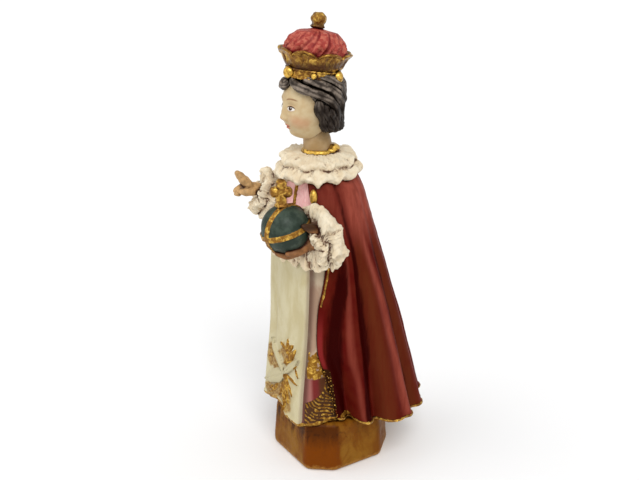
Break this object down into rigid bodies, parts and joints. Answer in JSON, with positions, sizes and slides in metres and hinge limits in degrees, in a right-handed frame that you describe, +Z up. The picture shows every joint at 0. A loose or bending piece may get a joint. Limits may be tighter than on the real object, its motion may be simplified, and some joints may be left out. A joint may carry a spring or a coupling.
{
  "type": "infant of prague statuette",
  "caption": "Painted cast-resin statuette of a crowned child in a long gown and open cape, with a raised right hand and an orb in the left, on a low chamfered base; stands as an ornament.",
  "frame": {"origin": "centre of the base's flat underside", "axes": "+Z up along the figure's height, -Y the way the figure faces, +X towards the figure's left hand with the orb"},
  "size_m": [0.0434, 0.0505, 0.12],
  "materials": {
    "painted_resin": "hand-painted polyresin under a satin clear coat: crimson cape, ivory panel, mauve gown, cream lace, gilt trim, brown base"
  },
  "bodies": {
    "root": {"statue": "painted_resin"}
  },
  "joints": []
}
